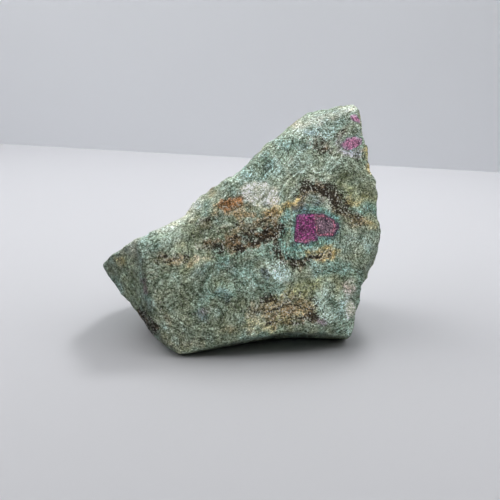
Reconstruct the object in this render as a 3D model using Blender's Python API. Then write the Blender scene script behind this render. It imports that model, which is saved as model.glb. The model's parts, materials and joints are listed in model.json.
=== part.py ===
"""Ruby in fuchsite: a broken hand specimen resting on its flat underside.

The stone is one closed solid bounded by fracture planes. Every crystal of ruby
is a six-sided prism in a pocket of its own, broken off along the fracture.
All lengths below are millimetres, turned into metres when a mesh is made.
+Z is up, +X runs along the longest way, the broad face looks towards -Y.
"""
import math

import bmesh
import bpy
import numpy as np
from mathutils import Vector

MM = 0.001

# The stone: rays leave its heart, and each fracture plane ends them.
HEART = np.array([4.0, 3.0, 34.0])
REACH = np.array([54.0, 30.0, 44.0])
SEGMENTS = 88
KEPT_TRIANGLES = 0.09
FAR = 200.0

# Width over which two planes are rounded where they meet.
BLEND_FRONT = 7.0
BLEND_CORNER = 4.5
BLEND_EDGE = 2.2
BLEND_SHOULDER = 1.5
BLEND_STEP = 1.2
BLEND_NOTCH = 1.0
BLEND_LEDGE = 0.8

# Relief of the broken surface: width of a swell and its height, width of the
# hackly break and its height, how tightly its small planes meet, and the seeds.
# The relief starts just above the resting flat and grows over RISE.
SWELLS = ((24.0, 0.8), (11.0, 0.4))
SWELL_SEED = 11
HACKLE = (9.0, 0.11)
HACKLE_SHARPNESS = 9.0
HACKLE_SEED = 80
JITTER = 0.42
FLAT_RIM = 0.2
RISE = 3.5

# Terraces and grooves are laid out in x and z on a flat sheet in front of the
# broad face: its facing and a point of it. Lines through EYE carry them over.
SHEET = (10.0, 20.0)
SHEET_POINT = np.array([-22.0, -23.5, 1.0])
EYE = np.array([0.0, -247.0, 122.0])
FRONT = (10.0, 20.0)
FRONT_EDGE = 4.0

# Crystals: gap to the pocket, how far a crystal end stands out of the stone, and
# how far the prisms run clear of it before they are cut off.
GAP = 0.35
PROUD = 0.3
CLEAR = 6.0


def hexagon(half_u, half_v, spin):
    """Corners of a hexagon with given half widths, turned by the spin."""
    turns = [math.radians(spin + 60.0 * k) for k in range(6)]
    return tuple((half_u * math.cos(t), half_v * math.sin(t)) for t in turns)


# Outlines of the crystals of the broad face, across and up from their middle.
LARGE_LEFT = ((4.6, -4.6), (4.6, 5.5), (0.4, 5.6), (-2.6, 4.7), (-3.9, -5.4), (0.5, -5.8))
LARGE_RIGHT = ((4.8, -0.9), (4.2, 1.9), (-0.6, 4.8), (-4.4, 5.0), (-3.4, -3.9), (2.9, -4.0))
UPPER = ((3.4, -0.6), (3.8, 1.6), (1.4, 2.7), (-1.8, 2.3), (-4.2, 0.0), (-1.6, -2.8))
TIP = ((2.1, -1.5), (2.2, -0.2), (0.0, 1.4), (-2.4, 0.8), (-1.3, -0.6), (0.2, -1.4))

# Crystals: x, y, z on the surface, facing azimuth and elevation, the corners of
# the outline across the axis, and the depth into the stone.
RUBY_LARGE = [
    (19.7, -5.4, 42.6, 5.5, 27, LARGE_LEFT, 9.0),
    (27.4, -4.4, 43.0, 5.5, 27, LARGE_RIGHT, 8.0),
]
RUBY_UPPER = [(38.2, 10.6, 70.4, 5.5, 27, UPPER, 6.0)]
RUBY_TIP = [(39.6, 15.2, 79.1, 5.5, 27, TIP, 4.0)]
RUBY_SIDE = [(47.0, 12.5, 43.0, 96, 7, hexagon(3.8, 5.4, 10), 7.0)]
RUBY_REAR = [
    (12.0, 29.5, 47.0, 175, 5, hexagon(6.4, 5.2, 14), 9.0),
    (4.5, 29.5, 42.5, 175, 5, hexagon(4.6, 4.0, 40), 7.0),
]
RUBY_REAR_LOW = [(-9.0, 31.0, 19.0, 175, 5, hexagon(3.6, 4.4, -8), 7.0)]

# Terraces on the broad face: x0, z0, x1, z1, drop, fall, recovery. The stone
# drops on the left-hand side of the run and climbs back over the recovery.
TERRACES = [
    (33.0, 67.4, 45.0, 70.2, 1.3, 1.6, 9.0),
    (-24.0, 20.0, -15.0, 5.0, 0.9, 2.0, 10.0),
    (9.0, 39.5, -20.0, 36.5, 0.9, 2.0, 9.0),
    (34.0, 30.5, 13.0, 30.5, 1.1, 1.8, 9.0),
    (-2.0, 53.0, -13.0, 45.5, 0.7, 2.0, 8.0),
    (41.0, 44.5, 24.0, 57.0, 0.7, 2.0, 9.0),
]
# The runs wander sideways: width and height of the wander, and its seed.
WANDER = (7.0, 0.8)
WANDER_SEED = 40
# Grooves on the broad face: x0, z0, x1, z1, depth, half width.
GROOVES = [
    (-49.5, 30.5, -42.0, 18.5, 1.9, 2.0),
    (-36.0, 10.5, -32.5, 7.0, 1.2, 1.2),
]

# Colour, roughness.
FUCHSITE = ((0.30, 0.37, 0.29), 0.72)
RUBY = ((0.42, 0.06, 0.20), 0.45)


def clear_scene():
    for item in list(bpy.data.objects):
        bpy.data.objects.remove(item, do_unlink=True)


def facing(azimuth, elevation):
    """Unit normal: azimuth from -Y towards +X, elevation above the floor."""
    a = math.radians(azimuth)
    e = math.radians(elevation)
    return np.array([math.sin(a) * math.cos(e), -math.cos(a) * math.cos(e), math.sin(e)])


def cut(rays, azimuth, elevation, x, y, z):
    """Distance along each ray to the plane through a point."""
    normal = facing(azimuth, elevation)
    offset = normal @ (np.array([x, y, z]) - HEART)
    return np.minimum(offset / np.maximum(rays @ normal, 1e-3), FAR)


def inner(blend, first, *others):
    """The nearest of several planes, with a rounded outer edge."""
    result = first
    for other in others:
        h = np.maximum(blend - np.abs(result - other), 0.0) / blend
        result = np.minimum(result, other) - h * h * blend / 4.0
    return result


def outer(blend, first, *others):
    """The furthest of several planes, with a rounded hollow."""
    result = first
    for other in others:
        h = np.maximum(blend - np.abs(result - other), 0.0) / blend
        result = np.maximum(result, other) + h * h * blend / 4.0
    return result


def fracture_reach(rays):
    """Length of each ray up to the nearest fracture plane. A hollow corner is
    the further of its two planes."""
    left = outer(
        BLEND_NOTCH,
        cut(rays, -54, 1, -37, -18.2, 26),
        cut(rays, -38, 3, -44.3, -8.8, 20.5),
    )
    shelf = outer(
        BLEND_STEP,
        cut(rays, -25, 72, -30, -9, 41.5),
        cut(rays, -68, 49, -22, -8.3, 43),
    )
    step = inner(
        BLEND_SHOULDER,
        cut(rays, -135, 50, -15, 5, 56),
        cut(rays, -105, 30, -22, 3, 51),
    )
    slope = outer(
        BLEND_STEP,
        cut(rays, -117, 40, 3.4, 6.8, 69.5),
        step,
        cut(rays, -120, 50, -28, -1, 44.6),
        cut(rays, -135, 54, -44, 2, 33.2),
    )
    tip_ledge = outer(
        BLEND_LEDGE,
        cut(rays, 96, 7, 44.4, 16.2, 73),
        cut(rays, 50, 62, 44.5, 13.5, 69.8),
    )
    lobe = cut(rays, 95, -11, 40.2, -6, 17.5)
    right_low = outer(BLEND_STEP, cut(rays, 62, -12, 42.1, -6.2, 18.5), lobe)
    right_under = outer(BLEND_STEP, cut(rays, 100, -40, 46, 1, 23), lobe)
    front_under = outer(
        BLEND_STEP,
        cut(rays, 22, -55, -9, -25.4, 5.2),
        cut(rays, 12, -55, 14, -24.4, 9.8),
        cut(rays, -6, -55, 24, -24.0, 9.3),
    )
    broad = inner(
        BLEND_FRONT,
        cut(rays, 5.5, 27, 4, 4.9, 66),
        cut(rays, -3, 14, -10, -25.6, 6),
        cut(rays, 25, 12, 28, -21, 6),
    )
    return inner(
        BLEND_EDGE,
        inner(BLEND_CORNER, broad, left),
        shelf,
        slope,
        cut(rays, -38, 69, 30, 14, 79.0),
        cut(rays, 70, 38, 41.0, 17, 81),
        cut(rays, 96, 7, 46.5, 4, 54),
        tip_ledge,
        right_low,
        right_under,
        cut(rays, 45, 9, 49, -3, 39),
        cut(rays, 175, 5, 10, 30, 30),
        cut(rays, 172, 15, 34, 23.5, 82),
        cut(rays, -85, 44, -51, 0, 31.8),
        cut(rays, -98, -38, -48.1, 0, 12.9),
        cut(rays, -72, -38, -36.6, -15, 5.0),
        cut(rays, -45, -35, -30, -24, 4.5),
        front_under,
        cut(rays, 0, -90, 0, 0, 0),
        cut(rays, -140, 8, -48, 22, 25),
        cut(rays, 135, 5, 44, 24, 30),
        cut(rays, -80, -8, -57.6, 7, 22),
    )


def ease(x):
    x = np.clip(x, 0.0, 1.0)
    return x * x * (3.0 - 2.0 * x)


def hashed(cell, seed):
    """A value between -1 and 1 for each whole-number cell."""
    h = cell[..., 0] * 374761393 + cell[..., 1] * 668265263
    h = h + cell[..., 2] * 2147483647 + seed * 144665
    h = (h ^ (h >> 13)) * 1274126177
    h = h ^ (h >> 16)
    return (h & 0xFFFFF) / float(0x7FFFF) - 1.0


def lattice(points, seed):
    """Smooth value noise between -1 and 1, one value per lattice corner."""
    cell = np.floor(points).astype(np.int64)
    f = points - cell
    f = f * f * f * (f * (f * 6.0 - 15.0) + 10.0)
    total = 0.0
    for dx in (0, 1):
        for dy in (0, 1):
            for dz in (0, 1):
                value = hashed(cell + np.array([dx, dy, dz]), seed)
                weight = f[..., 0] if dx else 1.0 - f[..., 0]
                weight = weight * (f[..., 1] if dy else 1.0 - f[..., 1])
                weight = weight * (f[..., 2] if dz else 1.0 - f[..., 2])
                total = total + weight * value
    return total


def rough(points, size, seed, octaves=1):
    """Sum of value noises, each half as wide and half as high."""
    total = 0.0
    gain = 1.0
    for k in range(octaves):
        total = total + gain * lattice(points / size * 2.0 ** k + 17.3 * k, seed + k)
        gain = gain * 0.5
    return total


def chipped(points, size, seed):
    """Hackly break: every jittered cell is a small plane with a slope of its
    own, and the planes are blended by a bell curve of the cell's distance."""
    scaled = points / size
    base = np.floor(scaled).astype(np.int64)
    total, weight = 0.0, 1e-9
    for dx in (-1, 0, 1):
        for dy in (-1, 0, 1):
            for dz in (-1, 0, 1):
                cell = base + np.array([dx, dy, dz])
                shift = np.stack([hashed(cell, seed + k) for k in range(3)], -1)
                slope = np.stack([hashed(cell, seed + 3 + k) for k in range(3)], -1)
                away = scaled - (cell + 0.5 + JITTER * shift)
                w = np.exp(-HACKLE_SHARPNESS * (away * away).sum(-1))
                total = total + w * (away * slope).sum(-1)
                weight = weight + w
    return total / weight * size


def laid_out(points):
    """Where the line from EYE to each point passes the flat sheet."""
    normal = facing(*SHEET)
    away = points - EYE
    share = (normal @ (SHEET_POINT - EYE)) / (away @ normal)
    return EYE + away * share[..., None]


def along(points, x0, z0, x1, z1):
    """Position along a run on the sheet, and distance to its left."""
    length = math.hypot(x1 - x0, z1 - z0)
    dx = (x1 - x0) / length
    dz = (z1 - z0) / length
    t = (points[..., 0] - x0) * dx + (points[..., 2] - z0) * dz
    s = (points[..., 2] - z0) * dx - (points[..., 0] - x0) * dz
    return t, s, length


def run_share(t, length, beyond, fade):
    """Share of a run at a position: fades in and out just beyond its ends."""
    return ease((t + beyond) / fade) * ease((length + beyond - t) / fade)


def broken_steps(points):
    """Terraces and grooves of the broad face."""
    total = 0.0
    wander = WANDER[1] * rough(points, WANDER[0], WANDER_SEED, 2)
    points = laid_out(points)
    for x0, z0, x1, z1, drop, fall, back in TERRACES:
        t, s, length = along(points, x0, z0, x1, z1)
        s = s + wander
        step = ease(s / fall + 0.5) * (1.0 - ease(s / back))
        total = total - drop * step * run_share(t, length, 2.0, 5.0)
    for x0, z0, x1, z1, depth, half in GROOVES:
        t, s, length = along(points, x0, z0, x1, z1)
        hollow = np.exp(-((s + 0.4 * wander) / half) ** 2)
        total = total - depth * hollow * run_share(t, length, 1.5, 3.0)
    return total


def stone_points(rays):
    """Points on the broken surface, in millimetres."""
    reach = fracture_reach(rays)
    points = HEART + rays * reach[:, None]
    above = ease((points[:, 2] - FLAT_RIM) / RISE)
    broad_face = ease((rays @ facing(*FRONT)) * FRONT_EDGE)
    swell = broken_steps(points) * broad_face
    for k, (width, height) in enumerate(SWELLS):
        swell = swell + height * rough(points, width, SWELL_SEED + k)
    swell = swell + HACKLE[1] * chipped(points, HACKLE[0], HACKLE_SEED)
    points = HEART + rays * (reach + swell * above)[:, None]
    points[:, 2] = np.maximum(points[:, 2], 0.0)
    return points


def surface_point(x, y, z):
    """The point of the broken surface on the ray through a given place."""
    ray = np.array([[x, y, z]]) - HEART
    ray = ray / np.linalg.norm(ray)
    return stone_points(ray)[0]


def make_material(name, colour, roughness):
    material = bpy.data.materials.new(name)
    material.use_nodes = True
    shader = material.node_tree.nodes["Principled BSDF"]
    shader.inputs["Base Color"].default_value = (*colour, 1.0)
    shader.inputs["Roughness"].default_value = roughness
    shader.inputs["Metallic"].default_value = 0.0
    return material


def add_object(name, bm, material=None):
    mesh = bpy.data.meshes.new(name)
    bm.to_mesh(mesh)
    bm.free()
    item = bpy.data.objects.new(name, mesh)
    bpy.context.scene.collection.objects.link(item)
    if material is not None:
        mesh.materials.append(material)
    return item


def stone_object(name, proud, material=None):
    """A divided cube, each corner carried along its ray to the fractures."""
    bm = bmesh.new()
    bmesh.ops.create_cube(bm, size=2.0)
    bmesh.ops.subdivide_edges(bm, edges=bm.edges[:], cuts=SEGMENTS - 1, use_grid_fill=True)
    corners = np.array([v.co[:] for v in bm.verts])
    rays = np.tan(corners * math.pi / 4.0) * REACH
    rays = rays / np.linalg.norm(rays, axis=1)[:, None]
    for vertex, point in zip(bm.verts, stone_points(rays) + rays * proud):
        vertex.co = Vector(point * MM)
    bmesh.ops.recalc_face_normals(bm, faces=bm.faces[:])
    stone = add_object(name, bm, material)
    thinned = stone.modifiers.new("thinned", "DECIMATE")
    thinned.decimate_type = "COLLAPSE"
    thinned.ratio = KEPT_TRIANGLES
    return stone


def widened(corners, grow):
    """The outline with every side moved out by the same distance."""
    moved = []
    for k in range(6):
        (x0, y0), (x1, y1), (x2, y2) = corners[k - 1], corners[k], corners[(k + 1) % 6]
        before = np.array([y1 - y0, x0 - x1]) / math.hypot(x1 - x0, y1 - y0)
        after = np.array([y2 - y1, x1 - x2]) / math.hypot(x2 - x1, y2 - y1)
        middle = (before + after) / (1.0 + before @ after)
        moved.append((x1 + grow * middle[0], y1 + grow * middle[1]))
    return moved


def prism(bm, crystal, grow):
    """One six-sided prism through the surface along its facing."""
    x, y, z, azimuth, elevation, corners, depth = crystal
    axis = facing(azimuth, elevation)
    side = np.cross(np.array([0.0, 0.0, 1.0]), axis)
    side = side / np.linalg.norm(side)
    lift = np.cross(axis, side)
    level = (surface_point(x, y, z) - np.array([x, y, z])) @ axis
    centre = np.array([x, y, z]) + axis * level
    rings = []
    for height in (-depth - grow, CLEAR):
        ring = []
        for across, up in widened(corners, grow):
            place = centre + axis * height + side * across + lift * up
            ring.append(bm.verts.new(Vector(place * MM)))
        rings.append(ring)
    bm.faces.new(rings[0][::-1])
    bm.faces.new(rings[1])
    for k in range(6):
        n = (k + 1) % 6
        bm.faces.new((rings[0][k], rings[0][n], rings[1][n], rings[1][k]))


def crystal_object(name, crystal, grow, material):
    bm = bmesh.new()
    prism(bm, crystal, grow)
    bmesh.ops.recalc_face_normals(bm, faces=bm.faces[:])
    return add_object(name, bm, material)


def hide_tool(item):
    item.hide_render = True
    item.hide_set(True)
    item.display_type = "WIRE"


def combine(item, tool, operation):
    modifier = item.modifiers.new(operation.lower(), "BOOLEAN")
    modifier.operation = operation
    modifier.solver = "EXACT"
    modifier.object = tool


def make_ruby(name, crystals, matrix, ends, material):
    """A crystal, or two grown together, cut off by the form of their broken
    ends, and the pocket that holds it."""
    ruby = crystal_object(name, crystals[0], 0.0, material)
    for k, twin in enumerate(crystals[1:]):
        tool = crystal_object(name + "_twin_" + str(k), twin, 0.0, material)
        hide_tool(tool)
        combine(ruby, tool, "UNION")
    combine(ruby, ends, "INTERSECT")
    for k, crystal in enumerate(crystals):
        pocket = crystal_object(name + "_pocket_" + str(k), crystal, GAP, None)
        hide_tool(pocket)
        combine(matrix, pocket, "DIFFERENCE")
    return ruby


def main():
    clear_scene()
    fuchsite = make_material("fuchsite", *FUCHSITE)
    ruby = make_material("ruby", *RUBY)
    matrix = stone_object("fuchsite_matrix", 0.0, fuchsite)
    ends = stone_object("broken_ends", PROUD)
    hide_tool(ends)
    make_ruby("ruby_large", RUBY_LARGE, matrix, ends, ruby)
    make_ruby("ruby_upper", RUBY_UPPER, matrix, ends, ruby)
    make_ruby("ruby_tip", RUBY_TIP, matrix, ends, ruby)
    make_ruby("ruby_side", RUBY_SIDE, matrix, ends, ruby)
    make_ruby("ruby_rear", RUBY_REAR, matrix, ends, ruby)
    make_ruby("ruby_rear_low", RUBY_REAR_LOW, matrix, ends, ruby)


main()
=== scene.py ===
"""Ruby in fuchsite: the broken stone, its crystals and the table it stands on."""

import json
import math

import bpy
import numpy as np
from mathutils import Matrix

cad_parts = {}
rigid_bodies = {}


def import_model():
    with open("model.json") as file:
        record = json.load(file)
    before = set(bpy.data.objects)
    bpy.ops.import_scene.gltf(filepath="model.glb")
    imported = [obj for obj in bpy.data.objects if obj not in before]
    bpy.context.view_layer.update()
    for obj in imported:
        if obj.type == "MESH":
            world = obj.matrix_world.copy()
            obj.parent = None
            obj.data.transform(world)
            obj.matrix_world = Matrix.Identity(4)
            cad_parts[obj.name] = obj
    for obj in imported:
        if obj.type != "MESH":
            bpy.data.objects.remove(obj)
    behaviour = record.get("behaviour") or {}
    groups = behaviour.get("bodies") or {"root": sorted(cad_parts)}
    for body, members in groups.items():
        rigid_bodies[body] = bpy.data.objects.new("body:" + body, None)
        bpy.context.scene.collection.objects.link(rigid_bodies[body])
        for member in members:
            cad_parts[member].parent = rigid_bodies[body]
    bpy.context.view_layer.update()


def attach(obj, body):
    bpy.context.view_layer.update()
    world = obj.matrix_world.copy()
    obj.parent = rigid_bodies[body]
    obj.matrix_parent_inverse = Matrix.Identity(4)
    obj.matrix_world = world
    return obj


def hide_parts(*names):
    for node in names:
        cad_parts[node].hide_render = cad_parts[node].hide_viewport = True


bl_info = {
    "name": "Ruby in Fuchsite",
    "version": (1, 0, 0),
    "blender": (4, 5, 0),
    "location": "3D View > Sidebar > Stone",
    "description": "Builds a broken hand specimen of ruby in fuchsite",
    "category": "Add Mesh",
}

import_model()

# Shapes are worked out in millimetres and stored in metres.
MM = 0.001
# The stone is shaped along rays from its heart: their box's half sizes, and
# the length of a ray that meets no plane.
HEART = np.array([4.0, 3.0, 34.0])
REACH = np.array([54.0, 30.0, 44.0])
FAR = 200.0
# Terraces, grooves and strokes are laid out in x and z on a flat sheet in front
# of the stone: its facing and a point of it. Lines through EYE carry them over.
SHEET = (10.0, 20.0)
SHEET_POINT = np.array([-22.0, -23.5, 1.0])
EYE = np.array([0.0, -247.0, 122.0])
UP = np.array([0.0, 0.0, 1.0])


def hexagon(half_u, half_v, spin):
    """Corners of a hexagon: half widths times the cosine and sine of 60 degree
    turns from the spin."""
    turns = [math.radians(spin + 60.0 * k) for k in range(6)]
    return [(half_u * math.cos(t), half_v * math.sin(t)) for t in turns]


# Facings, by azimuth and elevation, of the faces that hold crystals.
FRONT, SIDE, REAR = (5.5, 27), (96, 7), (175, 5)
# Crystals: x, y, z on the surface, the facing there, and the corners of the
# crystal's outline across its axis.
RUBIES = {
    "ruby_large": [
        (
            (19.7, -5.4, 42.6),
            FRONT,
            [(4.6, -4.6), (4.6, 5.5), (0.4, 5.6), (-2.6, 4.7), (-3.9, -5.4), (0.5, -5.8)],
        ),
        (
            (27.4, -4.4, 43.0),
            FRONT,
            [(4.8, -0.9), (4.2, 1.9), (-0.6, 4.8), (-4.4, 5.0), (-3.4, -3.9), (2.9, -4.0)],
        ),
    ],
    "ruby_upper": [
        (
            (38.2, 10.6, 70.4),
            FRONT,
            [(3.4, -0.6), (3.8, 1.6), (1.4, 2.7), (-1.8, 2.3), (-4.2, 0.0), (-1.6, -2.8)],
        ),
    ],
    "ruby_tip": [
        (
            (39.6, 15.2, 79.1),
            FRONT,
            [(2.1, -1.5), (2.2, -0.2), (0.0, 1.4), (-2.4, 0.8), (-1.3, -0.6), (0.2, -1.4)],
        ),
    ],
    "ruby_side": [((47.0, 12.5, 43.0), SIDE, hexagon(3.8, 5.4, 10))],
    "ruby_rear": [
        ((12.0, 29.5, 47.0), REAR, hexagon(6.4, 5.2, 14)),
        ((4.5, 29.5, 42.5), REAR, hexagon(4.6, 4.0, 40)),
    ],
    "ruby_rear_low": [((-9.0, 31.0, 19.0), REAR, hexagon(3.6, 4.4, -8))],
}
# Crystals of the bright kind, in a lilac halo.
SMALL_RUBIES = ("ruby_upper", "ruby_tip")
# How far a crystal stands clear of its pocket and how deep its sides reach.
CRYSTAL_LIFT, CRYSTAL_DEPTH = 0.05, 1.5
# How deep the stone sinks under its crystals.
POCKET_DEPTH = 1.1

STONE_PIECES = ["fuchsite_stone"] + [name + "_crystal" for name in RUBIES]

# Lights on the stone: name, place and size in metres, and whose watts it takes.
STONE_LIGHTS = [
    ("rear_softbox", (-0.05, 0.24, 0.42), (0.4, 0.1), "rear_watts"),
    ("overhead_softbox", (0.0, 0.09, 0.44), (0.45, 0.28), "top_watts"),
    ("front_softbox", (0.19, -0.41, 0.57), (0.3, 0.3), "fill_watts"),
]
# Lights on the table and the backdrop: name, place, size, share of their watts.
TABLE_LIGHTS = [
    ("right_rear_lamp", (0.12, 0.24, 0.42), (0.1, 0.1), 0.80),
    ("left_rear_lamp", (-0.35, 0.25, 0.45), (0.3, 0.3), 0.83),
    ("left_lamp", (-0.5, 0.0, 0.4), (0.5, 0.5), 1.00),
    ("right_lamp", (0.5, 0.0, 0.4), (0.5, 0.5), 0.83),
    ("table_softbox", (0.0, 0.05, 0.5), (0.6, 0.4), 0.60),
]
LIGHTS_AIM = np.array([0.0, 0.0, 0.03])
WARM_WHITE = (1.0, 0.995, 0.98)
WHITE = (1.0, 1.0, 1.0)
SKY_WHITE = (0.93, 0.96, 1.0, 1.0)

# Half width of the table, then turn, foot and height of the backdrop.
TABLE_REACH = 2500.0
BACKDROP_TURN = math.radians(-14.8)
BACKDROP_FOOT = np.array([0.0, 305.0, 0.0])
BACKDROP_HEIGHT = 2000.0
# Camera: place in metres, its tilt up from straight down, lens and sensor.
CAMERA_PLACE = (0.0, -0.2472, 0.122)
CAMERA_TILT = math.radians(70.0)
LENS, SENSOR = 50.0, 36.0

# Terraces: x0, z0, x1, z1, drop, fall, recovery. The left-hand side drops.
TERRACES = [
    (33.0, 67.4, 45.0, 70.2, 1.3, 1.6, 9.0),
    (-24.0, 20.0, -15.0, 5.0, 0.9, 2.0, 10.0),
    (9.0, 39.5, -20.0, 36.5, 0.9, 2.0, 9.0),
    (34.0, 30.5, 13.0, 30.5, 1.1, 1.8, 9.0),
    (-2.0, 53.0, -13.0, 45.5, 0.7, 2.0, 8.0),
    (41.0, 44.5, 24.0, 57.0, 0.7, 2.0, 9.0),
]
# Grooves: x0, z0, x1, z1, depth, half width.
GROOVES = [
    (-49.5, 30.5, -42.0, 18.5, 1.9, 2.0),
    (-36.0, 10.5, -32.5, 7.0, 1.2, 1.2),
]

# Linear colours of the minerals and of their weathering.
PALETTE = {
    "sage": (0.250, 0.292, 0.232),
    "meadow": (0.355, 0.408, 0.342),
    "mist": (0.540, 0.650, 0.610),
    "teal": (0.235, 0.375, 0.350),
    "kyanite": (0.210, 0.400, 0.390),
    "steel": (0.150, 0.205, 0.240),
    "slate": (0.060, 0.075, 0.115),
    "ice": (0.620, 0.740, 0.740),
    "chalk": (0.900, 0.850, 0.860),
    "cream": (0.720, 0.660, 0.480),
    "ochre": (0.640, 0.450, 0.170),
    "rust": (0.380, 0.165, 0.062),
    "tan": (0.450, 0.320, 0.185),
    "umber": (0.185, 0.125, 0.072),
    "moss": (0.165, 0.185, 0.118),
    "olive": (0.340, 0.335, 0.165),
    "rose": (0.470, 0.300, 0.310),
    "lilac": (0.460, 0.430, 0.520),
    "pitch": (0.022, 0.014, 0.008),
    "plum": (0.230, 0.130, 0.180),
}

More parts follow.
